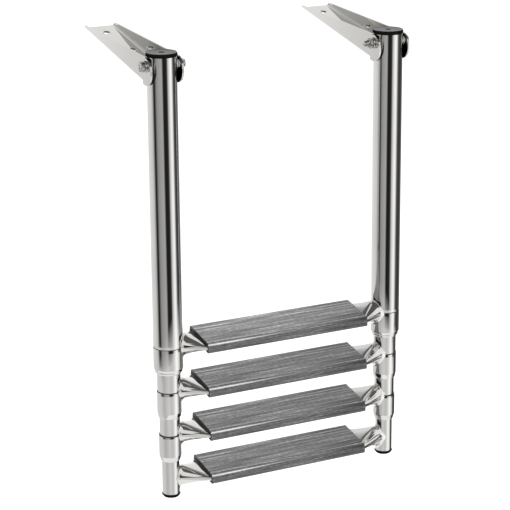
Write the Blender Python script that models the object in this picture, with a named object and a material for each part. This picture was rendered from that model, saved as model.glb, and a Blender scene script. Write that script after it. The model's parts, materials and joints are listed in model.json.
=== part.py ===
"""Telescopic boat boarding ladder, closed, hanging from its two platform hinge brackets.

Units are metres. +Z runs up the legs, +X along the rungs and +Y back towards the boat.
The origin is the middle of the hinge axis, which both pivot bolts share.
"""

import math

import bmesh
import bpy
from mathutils import Vector

# Layout
LEG_SPACING = 0.334
RUNG_PITCH = 0.063
FIRST_RUNG_Z = -0.381
FOOT_METAL_Z = -0.5925
TRAVEL = 0.217  # how far each stage slides out of the one above
BRACKET_TILT = math.radians(10.6)  # the brackets' far ends stand higher than the hinge
TREAD_TILT = math.radians(9.0)  # the treads' front edges sit lower

# Fits
GAP = 0.0003  # between neighbours that touch on the real ladder
SLIDE_GAP = 0.00025  # radial, each side of a liner or guide

# Tubes, from the outer stage in
TUBE_RADII = (0.020, 0.016, 0.014, 0.012)
TUBE_WALLS = (0.0012, 0.0010, 0.0010, 0.0010)
TUBE_TOP_Z = 0.0124
SEGMENTS = 32

# Collars
COLLAR_RADII = (0.0202, 0.0167, 0.0153)
COLLAR_HEIGHT = 0.037
COLLAR_TAPER = 0.0075
COLLAR_LIP = 0.0025
COLLAR_NOSE = 0.0014  # how far the collar's mouth stands off the tube inside it

# Plastic liners and guide plugs
LINER_LENGTH = 0.075
LINER_SEGMENTS = 20
GUIDE_HEAD = 0.010
GUIDE_SPIGOT = 0.018
GUIDE_SEGMENTS = 16
STOP_GAP = 0.0003

# Top caps and feet
CAP_RADIUS = 0.0206
CAP_HEIGHT = 0.0047
CAP_ROUND = 0.0022
CAP_SPIGOT = 0.0055
CAP_DIMPLE_RADIUS = 0.0045
CAP_DIMPLE_DEPTH = 0.0006
FOOT_RADIUS = 0.0127
FOOT_DROP = 0.0052
FOOT_SPIGOT = 0.015

# Rungs
RUNG_ROOT_RADIUS = 0.0146
RUNG_ROOT_HALF_WIDTHS = (0.0172, 0.0154, 0.0138, 0.0118)
RUNG_FILLET = 0.005
FLARE_UP = 0.33  # share of the fillet that the root grows by at its top
FLARE_DOWN = 1.0
RUNG_FLAT_HALF_WIDTH = 0.0274
RUNG_FLAT_HALF_THICKNESS = 0.0039
RUNG_FLAT_Y = -0.0006
RUNG_FLAT_Z = 0.0010
RUNG_WALL = 0.0012
RUNG_POINTS = 26
RUNG_FLAT_POWER = 4.5  # superellipse power of the flat section; 2 is an ellipse
COLLAR_CLEAR = 0.003  # the rung's root clears the collar up to this far above it
ROOT_GAP = 0.0005  # radial, so that the root's flat facets clear the leg

# Treads
TREAD_LENGTHS = (0.243, 0.242, 0.239, 0.238)
TREAD_HALF_WIDTH = 0.0316
TREAD_TOP = 0.0038
TREAD_SIDE = 0.0030
TREAD_LIP = 0.0016
TREAD_LIP_LENGTH = 0.0090
TREAD_FRONT_ROUND = 0.0075
TREAD_BACK_ROUND = 0.0045
TREAD_LOW_FRONT_ROUND = 0.0026
TREAD_LOW_BACK_ROUND = 0.0050

# Hinge brackets: s runs from the hinge to the far end, n is up from the channel's floor
BRACKET_LENGTH = 0.2075
BRACKET_HALF_WIDTH = 0.0235
BRACKET_SHEET = 0.0026
BRACKET_DEPTH = 0.0236  # from the hinge axis down to the channel's underside
BRACKET_BEND = 0.0062  # outer bend radius
BRACKET_TIP = 0.0062  # flange height at the far end
BRACKET_TIP_CHAMFER = 0.0012
EAR_RADIUS = 0.0182
EAR_CENTRE_S = -0.0010
EAR_CENTRE_N = -0.0062
EAR_BACK_S = 0.0038  # where the flat ears become the bent channel
NOTCH_HALF_WIDTH = 0.0207
NOTCH_REACH = 0.0230  # clears the top cap as the leg swings
SCREW_HOLE_RADIUS = 0.0045
SCREW_SINK_RADIUS = 0.0058
SCREW_HOLES = ((0.182, -0.001), (0.112, 0.008))  # (s, x)

# Pivot hardware, M8
BOLT_RADIUS = 0.0040
BOLT_HOLE_RADIUS = 0.0043
HEAD_ACROSS = 0.013
HEAD_THICKNESS = 0.0048
NUT_THICKNESS = 0.0062
THREAD_PROUD = {"left": 0.0008, "right": 0.0050}
WASHER_RADIUS = 0.0080
WASHER_THICKNESS = 0.0014
SLEEVE_RADIUS = 0.0062
SLEEVE_HOLE_RADIUS = 0.0065
HEX_SEGMENTS = 24
ROUND_SEGMENTS = 16

LEGS = (("left", -LEG_SPACING / 2), ("right", LEG_SPACING / 2))
STAGES = len(TUBE_RADII)


def rung_z(stage):
    """Height of a stage's rung, which is also its tube's lower end where it has a collar."""
    return FIRST_RUNG_Z - stage * RUNG_PITCH


def collar_bottom_z(stage):
    return rung_z(stage) - COLLAR_HEIGHT


def liner_bottom_z(stage):
    return collar_bottom_z(stage) + COLLAR_LIP + GAP


def liner_top_z(stage):
    return liner_bottom_z(stage) + LINER_LENGTH


def guide_bottom_z(stage):
    """Underside of a guide's head, which meets the outer stage's liner at full travel."""
    return liner_top_z(stage - 1) + TRAVEL + STOP_GAP


def tube_inner(stage):
    return TUBE_RADII[stage] - TUBE_WALLS[stage]


# ---------------------------------------------------------------- mesh helpers


def clear_scene():
    for old in list(bpy.data.objects):
        bpy.data.objects.remove(old, do_unlink=True)


def make_material(name, colour, metallic, roughness):
    made = bpy.data.materials.new(name)
    made.use_nodes = True
    shader = made.node_tree.nodes["Principled BSDF"]
    shader.inputs["Base Color"].default_value = (*colour, 1.0)
    shader.inputs["Metallic"].default_value = metallic
    shader.inputs["Roughness"].default_value = roughness
    return made


def add_body(name):
    body = bpy.data.objects.new(name, None)
    bpy.context.scene.collection.objects.link(body)
    return body


def add_object(name, mesh, material=None, body=None, location=(0.0, 0.0, 0.0), tilt=0.0):
    """Link a mesh as one named piece. Bodies sit at the origin, so a location is a world position."""
    made = bpy.data.objects.new(name, mesh)
    bpy.context.scene.collection.objects.link(made)
    made.location = location
    made.rotation_euler = (tilt, 0.0, 0.0)
    made.parent = body
    if material:
        made.data.materials.clear()
        made.data.materials.append(material)
    return made


def skin(name, rings, closed=False):
    """Mesh over rings of equal point counts, capped unless closed joins the last to the first."""
    shell = bmesh.new()
    loops = [[shell.verts.new(point) for point in ring] for ring in rings]
    pairs = list(zip(loops, loops[1:] + loops[:1])) if closed else list(zip(loops, loops[1:]))
    for near, far in pairs:
        for i in range(len(near)):
            j = (i + 1) % len(near)
            shell.faces.new((near[i], near[j], far[j], far[i]))
    if not closed:
        shell.faces.new(loops[0])
        shell.faces.new(loops[-1])
    return finish_mesh(name, shell)


def prism(name, outline, half_width):
    """An outline of (y, z) points pushed out to both sides along X."""
    rings = [[(x, y, z) for y, z in outline] for x in (-half_width, half_width)]
    return skin(name, rings)


def finish_mesh(name, shell):
    bmesh.ops.recalc_face_normals(shell, faces=shell.faces)
    mesh = bpy.data.meshes.new(name)
    shell.to_mesh(mesh)
    shell.free()
    mesh.shade_smooth()
    mesh.set_sharp_from_angle(angle=math.radians(32))
    return mesh


def circle(radius, height, segments, axis="Z"):
    """Points of a circle round +Z or +X, at that height along the axis."""
    points = []
    for i in range(segments):
        angle = 2 * math.pi * i / segments
        across, up = radius * math.cos(angle), radius * math.sin(angle)
        points.append((across, up, height) if axis == "Z" else (height, across, up))
    return points


def hexagon(across, height, segments=HEX_SEGMENTS):
    """A hexagon round +X, with as many points as a circle so that the two can be joined."""
    points = []
    for i in range(segments):
        angle = 2 * math.pi * i / segments
        within = math.remainder(angle - math.pi / 6, math.pi / 3)
        radius = across / 2 / math.cos(within)
        points.append((height, radius * math.cos(angle), radius * math.sin(angle)))
    return points


def turned(name, profile, segments=SEGMENTS, closed=False, axis="Z"):
    """Turn a profile of (radius, height) points; closed profiles make rings, open ones make plugs."""
    return skin(name, [circle(r, h, segments, axis) for r, h in profile], closed)


def ring_profile(inner, outer, low, high):
    return [(outer, low), (outer, high), (inner, high), (inner, low)]


def arc(centre, radius, start, stop, steps):
    """Points on an arc; angles in degrees."""
    points = []
    for i in range(steps + 1):
        angle = math.radians(start + (stop - start) * i / steps)
        points.append((centre[0] + radius * math.cos(angle), centre[1] + radius * math.sin(angle)))
    return points


def cut(target, cutter, operation="DIFFERENCE"):
    cutter.hide_render = True
    cutter.display_type = "WIRE"
    modifier = target.modifiers.new(cutter.name, "BOOLEAN")
    modifier.operation = operation
    modifier.object = cutter


# ---------------------------------------------------------------- tubes and what is in them


def add_tube(stage, side, leg_x, body, steel):
    high = TUBE_TOP_Z if stage == 0 else guide_bottom_z(stage) - GAP
    low = rung_z(stage) if stage < STAGES - 1 else FOOT_METAL_Z
    profile = ring_profile(tube_inner(stage), TUBE_RADII[stage], low, high)
    mesh = turned("tube", profile, closed=True)
    tube = add_object(f"{side}_stage_{stage + 1}_tube", mesh, steel, body, (leg_x, 0, 0))
    if stage == 0:
        reach = 1.5 * TUBE_RADII[0]
        drill = turned("drill", [(SLEEVE_HOLE_RADIUS, -reach), (SLEEVE_HOLE_RADIUS, reach)], axis="X")
        cut(tube, add_object(f"{side}_sleeve_drill", drill, location=(leg_x, 0, 0)))


def add_collar(stage, side, leg_x, body, steel):
    """A sleeve under the tube, tapered in to a lip that keeps the liner from falling out."""
    radius, low, high = COLLAR_RADII[stage], collar_bottom_z(stage), rung_z(stage) - GAP
    inner_tube = TUBE_RADII[stage + 1]
    mouth = inner_tube + COLLAR_NOSE
    profile = [
        (radius, high),
        (radius, low + COLLAR_TAPER),
        (radius - 0.28 * (radius - mouth), low + 0.5 * COLLAR_TAPER),
        (mouth, low),
        (inner_tube + SLIDE_GAP, low),
        (inner_tube + SLIDE_GAP, low + COLLAR_LIP),
        (tube_inner(stage), low + COLLAR_LIP),
        (tube_inner(stage), high),
    ]
    mesh = turned("collar", profile, closed=True)
    add_object(f"{side}_stage_{stage + 1}_collar", mesh, steel, body, (leg_x, 0, 0))


def add_liner(stage, side, leg_x, body, nylon):
    """The plastic bush in a stage's lower end, in which the next stage's tube slides."""
    inner = TUBE_RADII[stage + 1] + SLIDE_GAP
    outer = tube_inner(stage) - SLIDE_GAP
    profile = ring_profile(inner, outer, liner_bottom_z(stage), liner_top_z(stage))
    mesh = turned("liner", profile, LINER_SEGMENTS, closed=True)
    add_object(f"{side}_stage_{stage + 1}_liner", mesh, nylon, body, (leg_x, 0, 0))


def add_guide(stage, side, leg_x, body, nylon):
    """The plug on an inner tube's top, whose head runs in the outer tube."""
    low = guide_bottom_z(stage)
    head, spigot = tube_inner(stage - 1) - SLIDE_GAP, tube_inner(stage) - SLIDE_GAP
    profile = [(head, low + GUIDE_HEAD), (head, low), (spigot, low), (spigot, low - GUIDE_SPIGOT)]
    mesh = turned("guide", profile, GUIDE_SEGMENTS)
    add_object(f"{side}_stage_{stage + 1}_guide", mesh, nylon, body, (leg_x, 0, 0))


def add_top_cap(side, leg_x, body, plastic):
    low, high = TUBE_TOP_Z + GAP, TUBE_TOP_Z + GAP + CAP_HEIGHT
    spigot = tube_inner(0) - GAP
    profile = [(CAP_DIMPLE_RADIUS - 0.0005, high - CAP_DIMPLE_DEPTH), (CAP_DIMPLE_RADIUS, high)]
    edge = arc((CAP_RADIUS - CAP_ROUND, high - CAP_ROUND), CAP_ROUND, 90, 0, 4)
    profile += edge + [(CAP_RADIUS, low), (spigot, low), (spigot, low - CAP_SPIGOT)]
    mesh = turned("cap", profile)
    add_object(f"{side}_top_cap", mesh, plastic, body, (leg_x, 0, 0))


def add_foot(side, leg_x, body, rubber):
    top, low = FOOT_METAL_Z - GAP, FOOT_METAL_Z - GAP - FOOT_DROP
    spigot = tube_inner(STAGES - 1) - GAP
    dome = [
        (FOOT_RADIUS * math.cos(math.radians(a)), top - FOOT_DROP * math.sin(math.radians(a)))
        for a in (0, 22, 45, 67)
    ]
    profile = [(spigot, top + FOOT_SPIGOT), (spigot, top)] + dome + [(0.15 * FOOT_RADIUS, low)]
    mesh = turned("foot", profile, LINER_SEGMENTS)
    add_object(f"{side}_foot", mesh, rubber, body, (leg_x, 0, 0))


# ---------------------------------------------------------------- rungs and treads


def superellipse(angle, half_width, half_height, power):
    cosine, sine = math.cos(angle), math.sin(angle)
    return (
        half_width * math.copysign(abs(cosine) ** (2 / power), cosine),
        half_height * math.copysign(abs(sine) ** (2 / power), sine),
    )


def root_section(stage, inset):
    """Points (y, z) of the rung's tube where it meets the leg."""
    half_width = RUNG_ROOT_HALF_WIDTHS[stage] - inset
    angles = [2 * math.pi * (i + 0.5) / RUNG_POINTS for i in range(RUNG_POINTS)]
    return [superellipse(angle, half_width, RUNG_ROOT_RADIUS - inset, 2) for angle in angles]


def flat_section(inset):
    """Points (y, z) of the rung's tube where it is pressed flat, tilted like its tread."""
    half_width, half_height = RUNG_FLAT_HALF_WIDTH - inset, RUNG_FLAT_HALF_THICKNESS - inset
    points = []
    for i in range(RUNG_POINTS):
        angle = 2 * math.pi * (i + 0.5) / RUNG_POINTS
        y, z = superellipse(angle, half_width, half_height, RUNG_FLAT_POWER)
        points.append(
            (
                y * math.cos(TREAD_TILT) - z * math.sin(TREAD_TILT) + RUNG_FLAT_Y,
                y * math.sin(TREAD_TILT) + z * math.cos(TREAD_TILT) + RUNG_FLAT_Z,
            )
        )
    return points


def leg_surface(stage, y, z):
    """How far the leg's surface stands off its axis along X at that height above the rung."""
    collar = COLLAR_RADII[stage] if stage < STAGES - 1 else 0.0
    radius = collar if collar and z < COLLAR_CLEAR else TUBE_RADII[stage]
    return math.sqrt(max((radius + ROOT_GAP) ** 2 - y**2, 0.0))


def rung_root(stage, distance, inset):
    """Points (off, y, z) of a section that follows the leg's surface, flared by a fillet near it."""
    flare = 0.0
    if distance < RUNG_FILLET:
        flare = RUNG_FILLET - math.sqrt(RUNG_FILLET**2 - (RUNG_FILLET - distance) ** 2)
    points = []
    for y, z in root_section(stage, inset):
        steep = abs(z) / (RUNG_ROOT_RADIUS - inset)
        z_out = z + flare * steep * steep * (FLARE_UP if z > 0 else -FLARE_DOWN)
        points.append((leg_surface(stage, y, z) + distance, y, z_out))
    return points


def rung_half(stage, root_distances, inset):
    """Rings of one arm as (off the leg's axis, y, z), fanning from the leg to the flat middle."""
    rings = [rung_root(stage, distance, inset) for distance in root_distances]
    flat_off = (LEG_SPACING - TREAD_LENGTHS[stage]) / 2
    rings.append([(flat_off, y, z) for y, z in flat_section(inset)])
    return rings


def rung_rings(stage, root_distances, inset):
    half = rung_half(stage, root_distances, inset)
    left = [[(off - LEG_SPACING / 2, y, z) for off, y, z in ring] for ring in half]
    right = [[(LEG_SPACING / 2 - off, y, z) for off, y, z in ring] for ring in reversed(half)]
    return left + right


def add_rung(stage, body, steel):
    """A tube from leg to leg, round at its ends and pressed flat under the tread."""
    outside = rung_rings(stage, (0.0, 0.3 * RUNG_FILLET, RUNG_FILLET), 0.0)
    inside = rung_rings(stage, (0.0, RUNG_FILLET), RUNG_WALL)
    mesh = skin("rung", outside + inside[::-1], closed=True)
    add_object(f"rung_{stage + 1}", mesh, steel, body, (0, 0, rung_z(stage)))


def edge_outline(top, low, top_round, low_round):
    """A lip, a side wall and its rounded corners, seen from one end, as (y, z) with +y outward."""
    half, lip_end = TREAD_HALF_WIDTH, TREAD_HALF_WIDTH - TREAD_LIP_LENGTH
    points = [(lip_end, low)]
    points += arc((half - low_round, low + low_round), low_round, -90, 0, 4)
    return points + arc((half - top_round, top - top_round), top_round, 0, 90, 5)


def inner_outline(top, low, top_round, low_round):
    """The inside of the same edge, from the lip up."""
    half, lip_end = TREAD_HALF_WIDTH - TREAD_SIDE, TREAD_HALF_WIDTH - TREAD_LIP_LENGTH
    points = [(lip_end, low)]
    points += arc((half - low_round, low + low_round), low_round, -90, 0, 2)
    return points + arc((half - top_round, top - top_round), top_round, 0, 90, 4)


def tread_outline():
    """The C-shaped section: a top that wraps both edges of the rung and curls under them."""
    top = RUNG_FLAT_HALF_THICKNESS + GAP + TREAD_TOP
    low = -(RUNG_FLAT_HALF_THICKNESS + GAP + TREAD_LIP)
    inner_top, inner_low = top - TREAD_TOP, low + TREAD_LIP
    back = edge_outline(top, low, TREAD_BACK_ROUND, TREAD_LOW_BACK_ROUND)
    back_inside = inner_outline(
        inner_top, inner_low, TREAD_BACK_ROUND / 2, TREAD_LOW_BACK_ROUND - TREAD_SIDE
    )
    front = edge_outline(top, low, TREAD_FRONT_ROUND, TREAD_LOW_FRONT_ROUND)
    front = [(-y, z) for y, z in front]
    front_inside = inner_outline(
        inner_top, inner_low, TREAD_FRONT_ROUND / 2, TREAD_LOW_FRONT_ROUND / 3
    )
    front_inside = [(-y, z) for y, z in front_inside]
    return back + front[::-1] + front_inside + back_inside[::-1]


def add_tread(stage, body, plastic):
    mesh = prism("tread", tread_outline(), TREAD_LENGTHS[stage] / 2)
    place = (0, RUNG_FLAT_Y, rung_z(stage) + RUNG_FLAT_Z)
    add_object(f"tread_{stage + 1}", mesh, plastic, body, place, TREAD_TILT)


# ---------------------------------------------------------------- hinge brackets


def channel_section():
    """The bent sheet's section as (x, n) points, with its flanges taller than they are cut to."""
    half, floor, sheet, bend = BRACKET_HALF_WIDTH, -BRACKET_DEPTH, BRACKET_SHEET, BRACKET_BEND
    high = EAR_RADIUS
    outer = [(half, high)] + arc((half - bend, floor + bend), bend, 0, -90, 5)
    inner = [(half - sheet, high)] + arc((half - bend, floor + bend), bend - sheet, 0, -90, 4)
    right = list(reversed(inner)) + outer
    return right + [(-x, n) for x, n in reversed(right)]


def tangent_angle(centre, radius, point):
    """Angle on a circle, in degrees, at which a line over its top to the point leaves it."""
    across, up = point[0] - centre[0], point[1] - centre[1]
    return math.degrees(math.atan2(up, across) + math.acos(radius / math.hypot(across, up)))


def side_outline():
    """The bracket seen from its side, as (s, n): a round ear, then a flange that tapers away."""
    centre, floor = (EAR_CENTRE_S, EAR_CENTRE_N), -BRACKET_DEPTH
    tip = (BRACKET_LENGTH - BRACKET_TIP_CHAMFER, floor + BRACKET_TIP)
    leave = tangent_angle(centre, EAR_RADIUS, tip)
    clear = floor - BRACKET_SHEET
    ear = arc(centre, EAR_RADIUS, leave, 270, 14)
    return ear + [
        (EAR_BACK_S, EAR_CENTRE_N - EAR_RADIUS),
        (EAR_BACK_S, clear),
        (BRACKET_LENGTH, clear),
        (BRACKET_LENGTH, floor + BRACKET_TIP - BRACKET_TIP_CHAMFER),
        tip,
    ]


def channel_mesh():
    rings = [[(x, s, n) for x, n in channel_section()] for s in (EAR_BACK_S, BRACKET_LENGTH)]
    return skin("channel", rings)


def ear_plate(side_of):
    """A flat plate in front of the channel, in line with one of its flanges."""
    outer = side_of * BRACKET_HALF_WIDTH
    inner = side_of * (BRACKET_HALF_WIDTH - BRACKET_SHEET)
    low, high = -BRACKET_DEPTH - BRACKET_SHEET, EAR_RADIUS
    front = -2 * EAR_RADIUS
    rings = [
        [(x, front, low), (x, EAR_BACK_S, low), (x, EAR_BACK_S, high), (x, front, high)]
        for x in (outer, inner)
    ]
    return skin("ear", rings)


def notch_cutter_mesh():
    """An upright oval post: the floor's front edge is hollowed out behind the leg."""
    stretch = NOTCH_REACH / NOTCH_HALF_WIDTH
    rings = [
        [(x, y * stretch, z) for x, y, z in circle(NOTCH_HALF_WIDTH, height, SEGMENTS)]
        for height in (-2 * BRACKET_DEPTH, 0.0)
    ]
    return skin("notch", rings)


def screw_cutter_mesh():
    """A countersunk hole's cutter, standing on the channel's floor."""
    floor, top = -BRACKET_DEPTH, -BRACKET_DEPTH + BRACKET_SHEET
    sink = SCREW_SINK_RADIUS - SCREW_HOLE_RADIUS
    profile = [
        (SCREW_HOLE_RADIUS, floor - BRACKET_SHEET),
        (SCREW_HOLE_RADIUS, top - sink),
        (SCREW_SINK_RADIUS, top),
        (SCREW_SINK_RADIUS, top + BRACKET_SHEET),
    ]
    return turned("screw_cutter", profile, GUIDE_SEGMENTS)


def add_bracket(side, leg_x, body, steel):
    """A sheet channel with an ear each side of the leg, notched round it and drilled for screws."""
    place = (leg_x, 0, 0)
    bracket = add_object(
        f"{side}_hinge_bracket", channel_mesh(), steel, body, place, BRACKET_TILT
    )
    for word, side_of in (("inner", 1), ("outer", -1)):
        ear = add_object(f"{side}_{word}_ear", ear_plate(side_of), None, body, place, BRACKET_TILT)
        cut(bracket, ear, "UNION")
    outline = prism("bracket_outline", side_outline(), 2 * BRACKET_HALF_WIDTH)
    cut(bracket, add_object(f"{side}_outline", outline, None, body, place, BRACKET_TILT), "INTERSECT")
    notch = notch_cutter_mesh()
    cut(bracket, add_object(f"{side}_notch", notch, None, body, place))
    reach = 2 * BRACKET_HALF_WIDTH
    drill = turned("bolt_drill", [(BOLT_HOLE_RADIUS, -reach), (BOLT_HOLE_RADIUS, reach)],
                   LINER_SEGMENTS, axis="X")
    cut(bracket, add_object(f"{side}_bolt_drill", drill, None, body, place))
    for number, (along, across) in enumerate(SCREW_HOLES):
        offset = Vector((across, along * math.cos(BRACKET_TILT), along * math.sin(BRACKET_TILT)))
        where = Vector(place) + offset
        cutter = add_object(
            f"{side}_screw_{number}", screw_cutter_mesh(), None, body, where, BRACKET_TILT
        )
        cut(bracket, cutter)


def add_pivot(side, leg_x, body, steel, nylon):
    """The bolt across the ears, its head on the outer side, its nut on the inner, and the sleeve."""
    out = math.copysign(1.0, leg_x)
    face = BRACKET_HALF_WIDTH + GAP
    seat = face + WASHER_THICKNESS + GAP
    place = (leg_x, 0, 0)
    chamfer = 0.0006
    top, end = seat + HEAD_THICKNESS, -(seat + NUT_THICKNESS + THREAD_PROUD[side])
    bolt = skin(
        "bolt",
        [
            circle(BOLT_RADIUS - chamfer, out * end, HEX_SEGMENTS, "X"),
            circle(BOLT_RADIUS, out * (end + chamfer), HEX_SEGMENTS, "X"),
            circle(BOLT_RADIUS, out * seat, HEX_SEGMENTS, "X"),
            hexagon(HEAD_ACROSS, out * seat),
            hexagon(HEAD_ACROSS, out * (top - chamfer)),
            circle(HEAD_ACROSS / 2 - chamfer, out * top, HEX_SEGMENTS, "X"),
        ],
    )
    add_object(f"{side}_pivot_bolt", bolt, steel, body, place)
    hole, near, far = BOLT_RADIUS + GAP, -seat, -(seat + NUT_THICKNESS)
    nut = skin(
        "nut",
        [
            circle(hole, out * near, HEX_SEGMENTS, "X"),
            circle(HEAD_ACROSS / 2 - chamfer / 2, out * near, HEX_SEGMENTS, "X"),
            hexagon(HEAD_ACROSS, out * (near - chamfer)),
            hexagon(HEAD_ACROSS, out * (far + chamfer)),
            circle(HEAD_ACROSS / 2 - chamfer / 2, out * far, HEX_SEGMENTS, "X"),
            circle(hole, out * far, HEX_SEGMENTS, "X"),
        ],
        closed=True,
    )
    add_object(f"{side}_pivot_nut", nut, steel, body, place)
    for word, low in (("head", face), ("nut", -face - WASHER_THICKNESS)):
        profile = ring_profile(hole, WASHER_RADIUS, out * low, out * (low + WASHER_THICKNESS))
        washer = turned("washer", profile, ROUND_SEGMENTS, closed=True, axis="X")
        add_object(f"{side}_{word}_washer", washer, steel, body, place)
    reach = BRACKET_HALF_WIDTH - BRACKET_SHEET - GAP
    profile = ring_profile(hole, SLEEVE_RADIUS, -reach, reach)
    sleeve = turned("sleeve", profile, ROUND_SEGMENTS, closed=True, axis="X")
    add_object(f"{side}_pivot_sleeve", sleeve, nylon, body, place)


# ---------------------------------------------------------------- the ladder


def build():
    clear_scene()
    steel = make_material("polished_stainless", (0.62, 0.61, 0.59), 1.0, 0.12)
    black = make_material("black_plastic", (0.02, 0.02, 0.02), 0.0, 0.4)
    nylon = make_material("white_nylon", (0.75, 0.74, 0.70), 0.0, 0.5)
    grey = make_material("grey_plastic", (0.16, 0.165, 0.165), 0.0, 0.5)
    brackets = add_body("brackets")
    stages = [add_body(f"stage_{number + 1}") for number in range(STAGES)]
    for outer, inner in zip([brackets] + stages, stages):
        inner.parent = outer
    for side, leg_x in LEGS:
        add_bracket(side, leg_x, brackets, steel)
        add_pivot(side, leg_x, brackets, steel, nylon)
        add_top_cap(side, leg_x, stages[0], black)
        add_foot(side, leg_x, stages[-1], black)
        for stage, body in enumerate(stages):
            add_tube(stage, side, leg_x, body, steel)
            if stage < STAGES - 1:
                add_collar(stage, side, leg_x, body, steel)
                add_liner(stage, side, leg_x, body, nylon)
            if stage > 0:
                add_guide(stage, side, leg_x, body, nylon)
    for stage, body in enumerate(stages):
        add_rung(stage, body, steel)
        add_tread(stage, body, grey)


build()
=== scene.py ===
"""Looks of the closed telescopic boarding ladder: polished stainless, grooved treads, studio.

Metres, +Z up, the origin in the middle of the hinge axis. Places and outer sizes come from
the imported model's boxes; the constants below are the finish that the plain model leaves out.
"""

import json
import math

import bmesh
import bpy
from mathutils import Matrix, Vector


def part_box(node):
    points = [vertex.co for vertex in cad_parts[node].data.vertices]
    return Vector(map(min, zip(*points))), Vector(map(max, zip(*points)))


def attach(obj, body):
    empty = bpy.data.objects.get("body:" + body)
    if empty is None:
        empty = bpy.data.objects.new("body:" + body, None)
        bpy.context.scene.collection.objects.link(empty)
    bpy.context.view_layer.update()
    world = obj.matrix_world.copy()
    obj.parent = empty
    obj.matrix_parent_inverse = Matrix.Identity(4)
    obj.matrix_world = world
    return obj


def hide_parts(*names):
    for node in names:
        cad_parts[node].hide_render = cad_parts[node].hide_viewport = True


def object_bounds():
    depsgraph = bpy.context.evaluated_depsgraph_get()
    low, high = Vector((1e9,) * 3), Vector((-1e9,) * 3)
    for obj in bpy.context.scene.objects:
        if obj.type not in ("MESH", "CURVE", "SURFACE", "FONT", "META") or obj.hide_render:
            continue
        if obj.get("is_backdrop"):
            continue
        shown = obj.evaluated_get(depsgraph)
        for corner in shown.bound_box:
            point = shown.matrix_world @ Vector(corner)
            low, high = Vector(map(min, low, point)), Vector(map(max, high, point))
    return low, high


# Camera
CAMERA_PLACE = (-1.1529, -2.2615, 0.4936)
CAMERA_YAW = math.radians(26.28)  # from +Y towards +X
CAMERA_PITCH = math.radians(16.90)  # down
CAMERA_ROLL = math.radians(-0.50)
CAMERA_LENS = 137.96
CAMERA_SENSOR = 36.0

SIDES = ("left", "right")
STAGES = 4
ROUND = 128  # segments of the legs
WASHER_ROUND = 64
SHARP = math.radians(34)

# Tubes and collars
TUBE_WALLS = (0.0012, 0.0010, 0.0010, 0.0010)
EDGE = 0.0003
SEAM_EASE = 0.0042  # polishing dips the metal towards a seam over this length
SEAM_DIP = 0.00022
SEAM_STEPS = 6
SEAM_WIDTH = 0.0010
SHOULDER_HEIGHT = 0.0075
SHOULDER_ROUND = 0.007
MOUTH_STANDOFF = 0.0014
MOUTH_ROUND = 0.0006
LIP_HEIGHT = 0.0025
SLIDE_GAP = 0.00025
GAP = 0.0003

# Caps and feet
CAP_RIM = 0.0030
CAP_DISH = 0.0007
CAP_DIMPLE = 0.0045

# Rungs and treads
LEG_SPACING = 0.334
COLLAR_CLEAR = 0.003
ROOT_RADIUS = 0.0146
FLAT_HALF_WIDTH = 0.0274
FLAT_HALF_THICKNESS = 0.0039
FLAT_Y = -0.0006
FLAT_Z = 0.0010
FLAT_POWER = 4.5
RUNG_WALL = 0.0012
ROOT_HALF_WIDTHS = (0.0172, 0.0154, 0.0138, 0.0118)
FILLET = 0.0050
FLARE_UP = 0.33  # share of the fillet that the root grows by at its top
FLARE_DOWN = 1.0
RUNG_POINTS = 120
ARM_STEPS = 18
CREASES = 15.0  # per turn, but only the front of the arm has them
CREASE_DEPTHS = {"left": 0.00022, "right": 0.00060}
TREAD_TILT = math.radians(9.0)
TREAD_HALF_WIDTH = 0.0315
TREAD_TOP = 0.0038
TREAD_SIDE = 0.0030
TREAD_LIP = 0.0016
TREAD_LIP_LENGTH = 0.0090
TREAD_FRONT_ROUND = 0.0075
TREAD_BACK_ROUND = 0.0045
TREAD_LOW_FRONT_ROUND = 0.0026
TREAD_LOW_BACK_ROUND = 0.0050
RIB_PITCH = 0.0027
RIB_GROOVE = (0.0011, 0.00028)  # width, depth
NOSE_PITCH = 0.0019
NOSE_GROOVE = (0.0010, 0.00085)
NOSE_GROOVES = 7

# Hinge brackets
BRACKET_TILT = math.radians(10.6)
BRACKET_LENGTH = 0.2075
BRACKET_HALF_WIDTH = 0.0235
BRACKET_SHEET = 0.0026
BRACKET_DEPTH = 0.0236
BRACKET_BEND = 0.0062
BRACKET_TIP = 0.0062
BRACKET_TIP_CHAMFER = 0.0012
BRACKET_EASE = 0.0004  # how far the cut edges are rounded
EAR_RADIUS = 0.0182
EAR_CENTRE = (-0.0010, -0.0062)
EAR_BACK = 0.0038
NOTCH_HALF_WIDTH = 0.0207
NOTCH_REACH = 0.0230
BOLT_HOLE_RADIUS = 0.0043
SCREW_HOLE_RADIUS = 0.0045
SCREW_SINK_RADIUS = 0.0058
SCREW_HOLES = ((0.182, -0.001), (0.112, 0.008))

# Pivot hardware
BOLT_RADIUS = 0.0040
HEAD_ACROSS = 0.013
HEAD_THICKNESS = 0.0048
THREAD_PITCH = 0.00125
THREAD_DEPTH = 0.0005
THREAD_LENGTH = 0.0135
HEX_POINTS = 72  # a multiple of 6, so that the hexagons have true corners

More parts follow.
